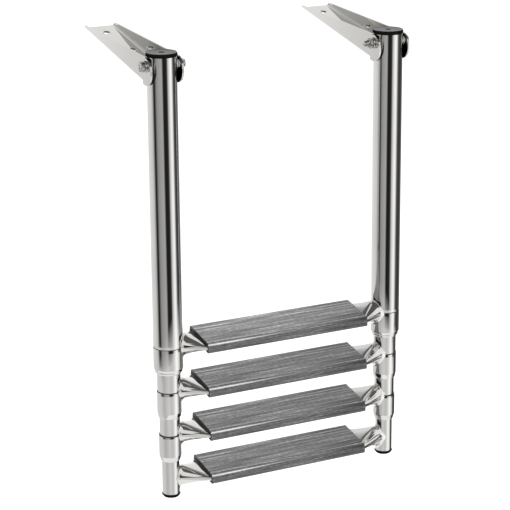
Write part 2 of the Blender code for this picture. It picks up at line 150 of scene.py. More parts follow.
# Studio: azimuths are degrees round the ladder from the camera's direction, levels are sRGB 0-255
TENT_RADIUS = 2.0
TENT_TOP = 1.8
TENT_BREAK = -1.08  # height where the lower band gives way to the upper one
TENT_FOOT = -2.2
TENT_STRENGTH = 1.22
TENT_HIGH = (-0.05, 0.30)  # heights between which the upper band gives way to the high one
CEILING = 84
HIGH_BAND = (
    (-180, 214), (-165, 216), (-148, 206), (-136, 176), (-124, 162), (-106, 172), (-90, 205),
    (-60, 222), (-20, 225), (20, 222), (60, 226), (100, 228), (140, 226), (180, 214),
)
UPPER_BAND = (
    (-180, 250), (-142, 222), (-120, 216), (-92, 206), (-79, 186), (-70, 120), (-64, 34),
    (-56, 38), (-49, 108), (-42, 142), (-22, 158), (-5, 166), (0, 120), (5, 34), (20, 30),
    (31, 44), (36, 90), (42, 180), (51, 214), (60, 245), (70, 250), (79, 205), (87, 96),
    (98, 66), (114, 50), (128, 84), (146, 110), (164, 215), (180, 250),
)
LOWER_BAND = (
    (-180, 250), (-130, 205), (-95, 203), (-70, 200), (-52, 178), (-35, 184), (-15, 199),
    (0, 204), (16, 192), (28, 194), (46, 216), (62, 252), (74, 250), (86, 214), (96, 190),
    (105, 66), (138, 60), (158, 200), (180, 250),
)
FLOOR_DROP = 0.75  # below the closed ladder's feet, so that the open ladder clears it
SKY_HORIZON = 1.0
SKY_ZENITH = 1.5
LAMP_ENERGY = 60
LAMP_SIZE = 1.6
LAMP_PLACE = (0.3, -2.7, 1.0)
LAMP_AIM = (0.0, 0.0, -0.4)


# ---------------------------------------------------------------- mesh helpers


def measures(node):
    """Centre and size of a CAD node at rest."""
    low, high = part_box(node)
    return (low + high) / 2, high - low


def body_of(node):
    """The name of the moving body that holds a CAD node."""
    return next(
        body for body, nodes in frame["record"]["behaviour"]["bodies"].items() if node in nodes
    )


def add_piece(name, mesh, node, material, place=(0.0, 0.0, 0.0), tilt=0.0):
    """One visible piece that stands for a CAD node and rides on that node's body."""
    mesh.transform(Matrix.Rotation(tilt, 4, "X"))
    piece = bpy.data.objects.new(name, mesh)
    bpy.context.scene.collection.objects.link(piece)
    piece.location = place
    mesh.materials.clear()
    mesh.materials.append(material)
    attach(piece, body_of(node))
    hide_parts(node)
    return piece


def finish_mesh(name, shell, sharp=SHARP):
    """Turn a bmesh into a smooth mesh whose edges steeper than sharp stay crisp."""
    bmesh.ops.recalc_face_normals(shell, faces=shell.faces)
    mesh = bpy.data.meshes.new(name)
    shell.to_mesh(mesh)
    shell.free()
    mesh.shade_smooth()
    mesh.set_sharp_from_angle(angle=sharp)
    return mesh


def skin(name, rings, closed=False, sharp=SHARP):
    """Mesh over rings of equal point counts; closed joins the last ring to the first."""
    shell = bmesh.new()
    loops = [[shell.verts.new(point) for point in ring] for ring in rings]
    pairs = list(zip(loops, loops[1:] + loops[:1])) if closed else list(zip(loops, loops[1:]))
    for near, far in pairs:
        for i in range(len(near)):
            j = (i + 1) % len(near)
            shell.faces.new((near[i], near[j], far[j], far[i]))
    if not closed:
        shell.faces.new(loops[0])
        shell.faces.new(loops[-1])
    return finish_mesh(name, shell, sharp)


def circle(radius, height, segments, axis="Z"):
    """Points round the Z or X axis, at a height along it."""
    points = []
    for i in range(segments):
        angle = 2 * math.pi * i / segments
        across, up = radius * math.cos(angle), radius * math.sin(angle)
        points.append((across, up, height) if axis == "Z" else (height, across, up))
    return points


def turned(name, profile, segments=ROUND, closed=False, axis="Z"):
    """Mesh of a (radius, height) profile turned about an axis."""
    return skin(name, [circle(r, h, segments, axis) for r, h in profile], closed)


def rounded(corners, steps=4, closed=True):
    """A polygon of (a, b, radius) corners with each corner made an arc of that radius."""
    points = []
    count = len(corners)
    for i, (a, b, radius) in enumerate(corners):
        if radius <= 0 or (not closed and i in (0, count - 1)):
            points.append((a, b))
            continue
        here = Vector((a, b))
        back = Vector(corners[i - 1][:2]) - here
        ahead = Vector(corners[(i + 1) % count][:2]) - here
        half = back.angle(ahead) / 2
        reach = min(radius / math.tan(half), 0.49 * back.length, 0.49 * ahead.length)
        true_radius = reach * math.tan(half)
        middle = here + (back.normalized() + ahead.normalized()).normalized() * (
            true_radius / math.sin(half)
        )
        start = here + back.normalized() * reach - middle
        stop = here + ahead.normalized() * reach - middle
        turn = start.angle_signed(stop)
        for step in range(steps + 1):
            angle = -turn * step / steps
            spun = Vector(
                (
                    start.x * math.cos(angle) - start.y * math.sin(angle),
                    start.x * math.sin(angle) + start.y * math.cos(angle),
                )
            )
            points.append(tuple(middle + spun))
    return points


def arc(centre, radius, start, stop, steps):
    """Points on an arc, its ends included, with the angles in degrees."""
    points = []
    for i in range(steps + 1):
        angle = math.radians(start + (stop - start) * i / steps)
        points.append((centre[0] + radius * math.cos(angle), centre[1] + radius * math.sin(angle)))
    return points


# ---------------------------------------------------------------- materials


class Shader:
    """A Principled material and short calls for the nodes behind it.

    tilt is the turn about X that was baked into the mesh, undone in the texture space.
    """

    def __init__(self, name, tilt=0.0, **values):
        self.material = bpy.data.materials.new(name)
        self.material.use_nodes = True
        self.nodes = self.material.node_tree.nodes
        self.links = self.material.node_tree.links
        self.shader = self.nodes["Principled BSDF"]
        for socket, value in values.items():
            self.shader.inputs[socket.replace("_", " ")].default_value = value
        coordinates = self.nodes.new("ShaderNodeTexCoord")
        upright = self.nodes.new("ShaderNodeMapping")
        upright.inputs["Rotation"].default_value = (-tilt, 0.0, 0.0)
        self.link(coordinates.outputs["Object"], upright.inputs["Vector"])
        self.space = upright.outputs["Vector"]
        self.facing = coordinates.outputs["Normal"]

    def link(self, output, socket):
        self.links.new(output, socket)

    def stretched(self, scale):
        mapping = self.nodes.new("ShaderNodeMapping")
        mapping.inputs["Scale"].default_value = scale
        self.link(self.space, mapping.inputs["Vector"])
        return mapping.outputs["Vector"]

    def noise(self, scale, stretch=(1, 1, 1), detail=4.0, roughness=0.55):
        texture = self.nodes.new("ShaderNodeTexNoise")
        texture.inputs["Scale"].default_value = scale
        texture.inputs["Detail"].default_value = detail
        texture.inputs["Roughness"].default_value = roughness
        self.link(self.stretched(stretch), texture.inputs["Vector"])
        return texture.outputs["Fac"]

    def ramp(self, factor, stops):
        """stops: (position, grey or colour)."""
        ramp = self.nodes.new("ShaderNodeValToRGB")
        elements = ramp.color_ramp.elements
        while len(elements) < len(stops):
            elements.new(0.5)
        for element, (position, value) in zip(elements, stops):
            element.position = position
            colour = value if isinstance(value, tuple) else (value,) * 3
            element.color = (*colour, 1.0)
        self.link(factor, ramp.inputs["Fac"])
        return ramp.outputs["Color"]

    def math(self, operation, first, second):
        node = self.nodes.new("ShaderNodeMath")
        node.operation = operation
        for socket, value in zip(node.inputs, (first, second)):
            if isinstance(value, (int, float)):
                socket.default_value = value
            else:
                self.link(value, socket)
        return node.outputs["Value"]

    def mix(self, factor, first, second):
        """Blend two colours; the second may be a plain tuple."""
        node = self.nodes.new("ShaderNodeMix")
        node.data_type = "RGBA"
        self.link(factor, node.inputs["Factor"])
        self.link(first, node.inputs["A"])
        if isinstance(second, tuple):
            node.inputs["B"].default_value = second
        else:
            self.link(second, node.inputs["B"])
        return node.outputs["Result"]

    def split(self, vector):
        """X, Y and Z of a vector, as outputs by name."""
        node = self.nodes.new("ShaderNodeSeparateXYZ")
        self.link(vector, node.inputs["Vector"])
        return node.outputs

    def step(self, value, low, high):
        """0 below low, 1 above high."""
        node = self.nodes.new("ShaderNodeMapRange")
        node.inputs["From Min"].default_value = low
        node.inputs["From Max"].default_value = high
        self.link(value, node.inputs["Value"])
        return node.outputs["Result"]

    def bump(self, height, strength, distance, normal=None):
        node = self.nodes.new("ShaderNodeBump")
        node.inputs["Strength"].default_value = strength
        node.inputs["Distance"].default_value = distance
        self.link(height, node.inputs["Height"])
        if normal is not None:
            self.link(normal, node.inputs["Normal"])
        return node.outputs["Normal"]

    def set(self, socket, output):
        self.link(output, self.shader.inputs[socket])


def polished_steel(
    name,
    grain=(60, 60, 1.5),
    tint=(0.80, 0.79, 0.77),
    haze=0.045,
    far=None,
    mottle=0.93,
    patch=9.0,
    wavy=0.12,
    tilt=0.0,
):
    """Mirror-polished stainless: a little haze, polishing lines and faint cloudiness.

    grain stretches the polishing lines and haze is the roughness. far is how much brighter the
    colour is painted out along +Y than at the origin, on the brackets only: painted light. mottle
    is how dark the cloudy patches are, and patch how many there are in a metre. wavy is how
    uneven the surface is.
    """
    made = Shader(name, tilt, Metallic=1.0, IOR=2.5)
    cloud = made.noise(patch, detail=3.0)
    darker = tuple(mottle * part for part in tint)
    colour = made.ramp(cloud, ((0.35, darker), (0.65, tint)))
    # On the brackets only: painted light makes the colour brighter out along +Y, and the painted
    # shade of ear_shade turns the ears' inner faces near black.
    if far is not None:
        place = made.split(made.space)
        colour = made.mix(
            made.step(place["Y"], -0.02, 0.17),
            colour,
            made.ramp(cloud, ((0.35, tuple(0.97 * part * far for part in tint)),
                              (0.65, tuple(part * far for part in tint)))),
        )
        colour = made.mix(ear_shade(made, place), colour, (0.035, 0.034, 0.032, 1.0))
    made.set("Base Color", colour)
    lines = made.noise(30.0, grain, detail=6.0, roughness=0.7)
    smudge = made.noise(22.0, detail=5.0)
    mixed = made.math("ADD", made.math("MULTIPLY", lines, 0.5), made.math("MULTIPLY", smudge, 0.5))
    made.set("Roughness", made.ramp(mixed, ((0.35, haze * 0.6), (0.7, haze * 1.7))))
    fine = made.bump(lines, 0.10, 0.00002)
    wave = made.noise(7.0, (1, 1, 0.35), detail=1.0)
    made.set("Normal", made.bump(wave, wavy, 0.0012, fine))
    return made.material


def ear_shade(made, place):
    """Mask of painted shade: near 1 on the inner faces of a bracket's ears, less behind them, 0
    elsewhere.
    """
    facing = made.split(made.facing)
    outward = made.math("MULTIPLY", facing["X"], place["X"])
    inner = made.step(outward, -0.010, -0.018)
    ear = made.math(
        "MULTIPLY",
        made.step(place["Y"], 0.020, 0.004),
        made.step(place["Z"], 0.002, -0.007),
    )
    behind = made.math(
        "MULTIPLY",
        made.step(place["Y"], 0.004, 0.014),
        made.step(place["Y"], 0.095, 0.050),
    )
    shade = made.math("MAXIMUM", ear, made.math("MULTIPLY", behind, 0.62))
    return made.math("MULTIPLY", made.math("MULTIPLY", inner, shade), 0.92)


def seam_line():
    """The dark line of dirt and shadow in a joint between two tubes."""
    made = Shader("seam_dark_line", Metallic=0.0, IOR=1.4)
    patch = made.noise(90.0, (1, 1, 4), detail=4.0)
    made.set("Base Color", made.ramp(patch, ((0.35, 0.010), (0.65, 0.045))))
    made.set("Roughness", made.ramp(patch, ((0.35, 0.55), (0.65, 0.80))))
    made.set("Normal", made.bump(patch, 0.2, 0.0001))
    return made.material


def tread_plastic():
    """Dark grey extruded plastic with lengthwise streaks, a painted highlight on the nose edge and
    painted shade on its front, right end, bottom edge and near-black cut ends.
    """
    made = Shader("tread_grey_plastic", TREAD_TILT, Metallic=0.0, IOR=1.48)
    streak = made.noise(30.0, (0.30, 10, 10), detail=7.0, roughness=0.70)
    speck = made.noise(380.0, (0.5, 1, 1), detail=3.0)
    mixed = made.math(
        "ADD", made.math("MULTIPLY", streak, 0.78), made.math("MULTIPLY", speck, 0.22)
    )
    grey = made.ramp(mixed, ((0.38, 0.070), (0.46, 0.148), (0.53, 0.222), (0.62, 0.500)))
    # Painted shade: the darker copy below is mixed in on the front face and, partly, towards the
    # right end.
    shaded = made.ramp(mixed, ((0.38, 0.024), (0.46, 0.052), (0.53, 0.080), (0.62, 0.18)))
    place = made.split(made.space)
    facing = made.split(made.facing)
    upright = made.step(facing["Y"], -0.55, -0.92)
    right_end_shade = made.math("MULTIPLY", made.step(place["X"], 0.01, 0.12), 0.62)
    grey = made.mix(made.math("MAXIMUM", upright, right_end_shade), grey, shaded)
    # Painted highlight: a pale band along the top of the nose, brightest at the left end and broken
    # up along the streaks.
    edge = made.ramp(
        made.math("ADD", made.math("MULTIPLY", place["Y"], 10.0), 0.5),
        ((0.209, 0.0), (0.213, 1.0), (0.219, 1.0), (0.225, 0.0)),
    )
    reach = made.ramp(
        made.math("ADD", made.math("MULTIPLY", place["X"], 4.0), 0.5),
        ((0.02, 1.0), (0.40, 0.80), (0.72, 0.25), (0.95, 0.0)),
    )
    highlight_breakup = made.ramp(streak, ((0.40, 0.35), (0.56, 1.0)))
    nose_highlight = made.math("MULTIPLY", edge, made.math("MULTIPLY", reach, highlight_breakup))
    pale = made.mix(nose_highlight, grey, (0.80, 0.79, 0.78, 1.0))
    # Darker streaks on the nose towards the right end, and painted shade along the bottom edge
    # under the lip's rounding.
    lines = made.noise(25.0, (0.10, 10, 10), detail=2.0)
    front = made.step(place["Y"], 0.004, -0.020)
    right = made.step(place["X"], 0.020, 0.115)
    dark_lines_and_low_shade = made.math("MULTIPLY", made.ramp(lines, ((0.42, 1.0), (0.52, 0.0))), front)
    dark_lines_and_low_shade = made.math("MULTIPLY", dark_lines_and_low_shade, made.math("MULTIPLY", right, 0.85))
    dark_lines_and_low_shade = made.math("MAXIMUM", dark_lines_and_low_shade, made.step(place["Z"], -0.0032, -0.0050))
    pale = made.mix(dark_lines_and_low_shade, pale, (0.022, 0.022, 0.024, 1.0))
    # Painted shade on the cut ends: faces across X are painted near black, darkest towards the
    # front.
    cut = made.ramp(made.math("ABSOLUTE", facing["X"], 0.0), ((0.75, 0.0), (0.9, 1.0)))
    end_shade = made.ramp(
        made.math("ADD", made.math("MULTIPLY", place["Y"], 10.0), 0.5),
        ((0.62, 0.010), (0.72, 0.055)),
    )
    made.set("Base Color", made.mix(cut, pale, end_shade))
    made.set("Roughness", made.ramp(mixed, ((0.3, 0.52), (0.7, 0.34))))
    made.set("Normal", made.bump(mixed, 0.35, 0.0002))
    return made.material


def black_plastic():
    """Satin black nylon with a fine moulded texture and a few pale scuffs."""
    made = Shader("cap_black_plastic", Metallic=0.0, IOR=1.5)
    grain = made.noise(900.0, detail=2.0)
    scuff = made.noise(60.0, (1, 6, 1), detail=6.0, roughness=0.7)
    facing = made.split(made.facing)
    made.set("Specular IOR Level", made.step(facing["Z"], 0.55, 1.30))
    made.set("Base Color", made.ramp(scuff, ((0.45, 0.0035), (0.72, 0.009))))
    made.set("Roughness", made.ramp(scuff, ((0.35, 0.24), (0.7, 0.36))))
    made.set("Normal", made.bump(grain, 0.15, 0.00008))
    return made.material


def slide_nylon():
    """Off-white bearing nylon."""
    made = Shader("slide_white_nylon", Metallic=0.0, IOR=1.53)
    mottle = made.noise(130.0, detail=4.0)
    tones = ((0.3, (0.62, 0.61, 0.57)), (0.7, (0.74, 0.73, 0.69)))
    made.set("Base Color", made.ramp(mottle, tones))
    made.set("Roughness", made.ramp(mottle, ((0.3, 0.38), (0.7, 0.52))))
    made.set("Normal", made.bump(made.noise(700.0), 0.12, 0.00008))
    return made.material


# ---------------------------------------------------------------- legs


def dipped(radius, seam, away, sign):
    """Outer (r, z) points over the stretch where polishing dips the metal towards a seam."""
    points = []
    for step in range(SEAM_STEPS + 1):
        part = step / SEAM_STEPS
        near = 1 - part
        points.append((radius - SEAM_DIP * near * near, seam + sign * (EDGE + part * away)))
    return points


def add_tube(side, stage, steel):
    """A tube with eased ends, dipped towards the seam at its lower one."""
    node = f"{side}_stage_{stage}_tube"
    centre, size = measures(node)
    low, high = centre.z - size.z / 2, centre.z + size.z / 2
    outer, inner = size.x / 2, size.x / 2 - TUBE_WALLS[stage - 1]
    profile = [(outer - SEAM_DIP - EDGE, low)]
    profile += dipped(outer, low, SEAM_EASE, 1)
    profile += [(outer, high - EDGE), (outer - EDGE, high), (inner + EDGE, high)]
    profile += [(inner, high - EDGE), (inner, low + EDGE), (inner + EDGE, low)]
    mesh = turned("tube_mesh", profile, closed=True)
    add_piece(f"{side}_leg_tube_{stage}", mesh, node, steel, (centre.x, centre.y, 0.0))


def add_collar(side, stage, steel):
    """A sleeve that narrows through a round shoulder to the next tube."""
    node = f"{side}_stage_{stage}_collar"
    centre, size = measures(node)
    low, high, outer = centre.z - size.z / 2, centre.z + size.z / 2, size.x / 2
    inside_tube = measures(f"{side}_stage_{stage + 1}_tube")[1].x / 2
    inner = measures(f"{side}_stage_{stage}_tube")[1].x / 2 - TUBE_WALLS[stage - 1]
    mouth = inside_tube + MOUTH_STANDOFF
    lip = inside_tube + SLIDE_GAP
    shoulder = [
        (outer, low + 2.2 * SHOULDER_HEIGHT, 0.0),
        (outer, low + SHOULDER_HEIGHT, SHOULDER_ROUND),
        (mouth, low + 0.0006, MOUTH_ROUND),
        (mouth - 0.0004, low, 0.0),
    ]
    profile = [(lip, low), (lip, low + LIP_HEIGHT), (inner, low + LIP_HEIGHT), (inner, high)]
    profile += [(outer - SEAM_DIP - EDGE, high)]
    profile += dipped(outer, high, SEAM_EASE, -1)
    profile += rounded(shoulder, 10, closed=False)
    mesh = turned("collar_mesh", profile, closed=True)
    add_piece(f"{side}_collar_{stage}", mesh, node, steel, (centre.x, centre.y, 0.0))


def add_seam(side, stage, line):
    """A thin dark ring over the joint between a tube and its collar."""
    node = f"{side}_stage_{stage}_collar"
    centre, size = measures(node)
    seam = centre.z + size.z / 2 + GAP / 2
    outer, half = size.x / 2 - SEAM_DIP + 0.00004, SEAM_WIDTH / 2
    shape = [
        (outer, seam - half, 0.00015),
        (outer, seam + half, 0.00015),
        (outer - 0.0006, seam + half, 0.0),
        (outer - 0.0006, seam - half, 0.0),
    ]
    mesh = turned("seam_mesh", rounded(shape, 2), closed=True)
    place = (centre.x, centre.y, 0.0)
    add_piece(f"{side}_seam_{stage}", mesh, node, line, place)


def add_cap(side, plastic):
    """A push-in cap: rounded rim, shallow dished top and a dimple in its middle."""
    node = f"{side}_top_cap"
    centre, size = measures(node)
    high, low, outer = centre.z + size.z / 2, centre.z - size.z / 2, size.x / 2
    seat = measures(f"{side}_stage_1_tube")
    seat_z = seat[0].z + seat[1].z / 2 + GAP
    inner = outer - CAP_RIM
    top = [
        (0.0008, high - CAP_DISH - 0.0009, 0.0),
        (CAP_DIMPLE - 0.0012, high - CAP_DISH - 0.0008, 0.0005),
        (CAP_DIMPLE, high - CAP_DISH, 0.0005),
        (inner, high - CAP_DISH * 0.6, 0.0010),
        (inner + 0.0012, high, 0.0005),
        (outer, high - 0.0002, 0.0016),
        (outer, seat_z, 0.0004),
        (outer - 0.0022, seat_z, 0.0),
    ]
    profile = rounded(top, 6, closed=False)
    profile += [(outer - 0.0022, low), (outer - 0.0030, low)]
    mesh = turned("cap_mesh", profile)
    add_piece(f"{side}_cap", mesh, node, plastic, (centre.x, centre.y, 0.0))


def add_foot(side, plastic):
    """A domed foot with a bead round its top edge."""
    node = f"{side}_foot"
    centre, size = measures(node)
    high, low, outer = centre.z + size.z / 2, centre.z - size.z / 2, size.x / 2
    tube = measures(f"{side}_stage_{STAGES}_tube")
    top = tube[0].z - tube[1].z / 2 - GAP
    spigot = tube[1].x / 2 - TUBE_WALLS[-1] - GAP
    shape = [
        (spigot, high, 0.0),
        (spigot, top, 0.0),
        (outer, top, 0.0004),
        (outer, top - 0.0016, 0.0004),
        (outer - 0.0005, top - 0.0019, 0.0003),
        (outer * 0.80, low + 0.0003, 0.0030),
        (0.0008, low, 0.0),
    ]
    mesh = turned("foot_mesh", rounded(shape, 8, closed=False))
    add_piece(f"{side}_leg_foot", mesh, node, plastic, (centre.x, centre.y, 0.0))


# ---------------------------------------------------------------- rungs and treads


def superellipse(angle, half_width, half_height, power):
    """A point on a rounded rectangle; a power of 2 makes it an ellipse."""
    cosine, sine = math.cos(angle), math.sin(angle)
    return (
        half_width * math.copysign(abs(cosine) ** (2 / power), cosine),
        half_height * math.copysign(abs(sine) ** (2 / power), sine),
    )


def crease(angle):
    """Depth, 0 to 1, of the creases pressed into the arm's front."""
    front = max(-math.cos(angle), 0.0) ** 2
    return front * (0.5 - 0.5 * math.cos(CREASES * angle))


def arm_point(angle, along, root_width, inset, depth=0.0):
    """(y, z) on the arm between its round root and its flat end."""
    round_y, round_z = superellipse(angle, root_width - inset, ROOT_RADIUS - inset, 2)
    flat_y, flat_z = superellipse(
        angle, FLAT_HALF_WIDTH - inset, FLAT_HALF_THICKNESS - inset, FLAT_POWER
    )
    tilted_y = flat_y * math.cos(TREAD_TILT) - flat_z * math.sin(TREAD_TILT) + FLAT_Y
    tilted_z = flat_y * math.sin(TREAD_TILT) + flat_z * math.cos(TREAD_TILT) + FLAT_Z
    y, z = (round_y * (1 - along) + tilted_y * along, round_z * (1 - along) + tilted_z * along)
    pressed = 1 - depth / ROOT_RADIUS * crease(angle) * 4 * along * (1 - along)
    return y * pressed, z * pressed


def leg_radii(stage):
    """Radius of the leg above and below the rung's axis."""
    tube = measures(f"left_stage_{stage}_tube")[1].x / 2
    if stage == STAGES:
        return tube, tube
    return tube, measures(f"left_stage_{stage}_collar")[1].x / 2


def leg_offset(radii, y, z):
    """How far the leg's surface stands off its axis along X at that point of the rung."""
    radius = radii[0] if z >= COLLAR_CLEAR else radii[1]
    return math.sqrt(max((radius + 0.0002) ** 2 - y * y, 0.0))


def arm_rings(stage, flat_off, inset, depth):
    """Rings (off, y, z) from the weld at the leg to the flat middle."""
    radii = leg_radii(stage)
    root_width = ROOT_HALF_WIDTHS[stage - 1]
    angles = [2 * math.pi * (i + 0.5) / RUNG_POINTS for i in range(RUNG_POINTS)]
    rings = []
    for step in range(6):
        distance = FILLET * (step / 6) ** 1.6
        flare = FILLET - math.sqrt(FILLET**2 - (FILLET - distance) ** 2)
        ring = []
        for angle in angles:
            y, z = arm_point(angle, 0.0, root_width, inset)
            steep = abs(z) / (ROOT_RADIUS - inset)
            off = leg_offset(radii, y, z) + distance
            grown = flare * steep * steep * (FLARE_UP if z > 0 else -FLARE_DOWN)
            ring.append((off, y, z + grown))
        rings.append(ring)
    starts = [leg_offset(radii, *arm_point(a, 0.0, root_width, inset)) + FILLET for a in angles]
    for step in range(ARM_STEPS + 1):
        along = step / ARM_STEPS
        ring = []
        for angle, start in zip(angles, starts):
            y, z = arm_point(angle, along, root_width, inset, depth)
            ring.append((start + (flat_off - start) * along, y, z))
        rings.append(ring)
    return rings


def add_rung(stage, steel):
    """A tube round at the legs, pressed flat between the treads' lips, with creased arms."""
    node = f"rung_{stage}"
    tread_length = measures(f"tread_{stage}")[1].x
    flat_off = (LEG_SPACING - tread_length) / 2
    loops = []
    for inset in (0.0, RUNG_WALL):
        arms = {side: arm_rings(stage, flat_off, inset, CREASE_DEPTHS[side]) for side in SIDES}
        left = [[(off - LEG_SPACING / 2, y, z) for off, y, z in ring] for ring in arms["left"]]
        right = [
            [(LEG_SPACING / 2 - off, y, z) for off, y, z in ring] for ring in arms["right"][::-1]
        ]
        loops.append(left + right)
    mesh = skin("rung_mesh", loops[0] + loops[1][::-1], closed=True, sharp=math.radians(50))
    add_piece(f"rung_tube_{stage}", mesh, node, steel, (0.0, 0.0, rung_height(stage)))


def rung_height(stage):
    """The rung's axis is where its tube's collar begins, and the last is a pitch lower."""
    if stage < STAGES:
        centre, size = measures(f"left_stage_{stage}_tube")
        return centre.z - size.z / 2
    return 2 * rung_height(STAGES - 1) - rung_height(STAGES - 2)


def grooved(path, grooves):
    """A polyline with (centre, width, depth) grooves cut to its left, by length along it."""
    lengths = [0.0]
    for here, there in zip(path, path[1:]):
        lengths.append(lengths[-1] + math.dist(here, there))
    marks = [(mark, 0.0) for mark in lengths
             if all(abs(mark - centre) > width / 2 for centre, width, _ in grooves)]
    for centre, width, depth in grooves:
        for part, deep in ((-0.5, 0.0), (-0.28, 0.85), (0.0, 1.0), (0.28, 0.85), (0.5, 0.0)):
            marks.append((centre + part * width, deep * depth))
    points = []
    span = 0
    for mark, deep in sorted(marks):
        while span < len(path) - 2 and lengths[span + 1] < mark:
            span += 1
        here, there = Vector(path[span]), Vector(path[span + 1])
        way = there - here
        share = (mark - lengths[span]) / max(lengths[span + 1] - lengths[span], 1e-9)
        inward = Vector((-way.y, way.x)).normalized()
        points.append(tuple(here + way * share + inward * deep))
    return points


def tread_outside(top, low):
    """The outer outline from the back lip over the top to the front lip, ribbed on top and nose."""
    half, lip = TREAD_HALF_WIDTH, TREAD_HALF_WIDTH - TREAD_LIP_LENGTH
    back_arc, front_arc = TREAD_BACK_ROUND, TREAD_FRONT_ROUND
    low_arc, low_back = TREAD_LOW_FRONT_ROUND, TREAD_LOW_BACK_ROUND
    path = [(lip, low)]
    path += arc((half - low_back, low + low_back), low_back, -90, 0, 10)
    path += arc((half - back_arc, top - back_arc), back_arc, 0, 90, 10)
    path += arc((front_arc - half, top - front_arc), front_arc, 90, 180, 16)
    path += arc((low_arc - half, low + low_arc), low_arc, 180, 270, 8)
    path += [(-lip, low)]
    before_top = TREAD_LIP_LENGTH - low_back + math.pi / 2 * (low_back + back_arc)
    before_top += top - low - low_back - back_arc
    flat = 2 * half - back_arc - front_arc
    grooves = []
    count = int(flat / RIB_PITCH)
    for i in range(count):
        grooves.append((before_top + flat * (i + 0.5) / count, *RIB_GROOVE))
    nose = before_top + flat + 0.30 * front_arc
    for i in range(NOSE_GROOVES):
        grooves.append((nose + NOSE_PITCH * i, *NOSE_GROOVE))
    return grooved(path, grooves)


def tread_inside(top, low):
    """The inner outline, from the front lip back to the back lip."""
    half, lip = TREAD_HALF_WIDTH - TREAD_SIDE, TREAD_HALF_WIDTH - TREAD_LIP_LENGTH
    back_arc, front_arc = TREAD_BACK_ROUND / 2, TREAD_FRONT_ROUND / 2
    low_arc, low_back = TREAD_LOW_FRONT_ROUND / 3, TREAD_LOW_BACK_ROUND - TREAD_SIDE
    path = [(-lip, low)]
    path += arc((low_arc - half, low + low_arc), low_arc, 270, 180, 4)
    path += arc((front_arc - half, top - front_arc), front_arc, 180, 90, 8)
    path += arc((half - back_arc, top - back_arc), back_arc, 90, 0, 6)
    path += arc((half - low_back, low + low_back), low_back, 0, -90, 6)
    return path + [(lip, low)]


def add_tread(stage, plastic):
    """An extruded cover: ribbed top, grooved nose and lips that clip under the rung."""
    node = f"tread_{stage}"
    centre, size = measures(node)
    top = FLAT_HALF_THICKNESS + GAP + TREAD_TOP
    low = -(FLAT_HALF_THICKNESS + GAP + TREAD_LIP)
    outline = tread_outside(top, low) + tread_inside(top - TREAD_TOP, low + TREAD_LIP)
    half = size.x / 2
    rings = [[(x, y, z) for y, z in outline] for x in (-half, half)]
    mesh = skin("tread_mesh", rings, sharp=math.radians(40))
    place = (centre.x, FLAT_Y, rung_height(stage) + FLAT_Z)
    add_piece(f"tread_cover_{stage}", mesh, node, plastic, place, TREAD_TILT)


# ---------------------------------------------------------------- hinge brackets


def channel_section():
    """The bent sheet's section as (x, n) points, taller than it is cut to."""
    half, floor, sheet, bend = BRACKET_HALF_WIDTH, -BRACKET_DEPTH, BRACKET_SHEET, BRACKET_BEND
    outer = [(half, EAR_RADIUS)] + arc((half - bend, floor + bend), bend, 0, -90, 14)
    inner = [(half - sheet, EAR_RADIUS)]
    inner += arc((half - bend, floor + bend), bend - sheet, 0, -90, 14)
    right = list(reversed(inner)) + outer
    return right + [(-x, n) for x, n in reversed(right)]


def tangent_angle(centre, radius, point):
    """Where on a circle, in degrees, the line to an outside point leaves it."""
    across, up = point[0] - centre[0], point[1] - centre[1]
    return math.degrees(math.atan2(up, across) + math.acos(radius / math.hypot(across, up)))


def side_outline():
    """The bracket seen from its side, as (s, n)."""
    floor = -BRACKET_DEPTH
    tip = (BRACKET_LENGTH - BRACKET_TIP_CHAMFER, floor + BRACKET_TIP)
    leave = tangent_angle(EAR_CENTRE, EAR_RADIUS, tip)
    clear = floor - BRACKET_SHEET
    outline = arc(EAR_CENTRE, EAR_RADIUS, leave, 270, 40)
    outline += [(EAR_BACK, EAR_CENTRE[1] - EAR_RADIUS), (EAR_BACK, clear)]
    end = floor + BRACKET_TIP - BRACKET_TIP_CHAMFER
    return outline + [(BRACKET_LENGTH, clear), (BRACKET_LENGTH, end), tip]


def cutter(name, rings, place, tilt):
    """A throwaway object, for the stock or for a tool that shapes it."""
    made = bpy.data.objects.new(name, skin(name, rings))
    bpy.context.scene.collection.objects.link(made)
    made.location = place
    made.rotation_euler = (tilt, 0.0, 0.0)
    return made


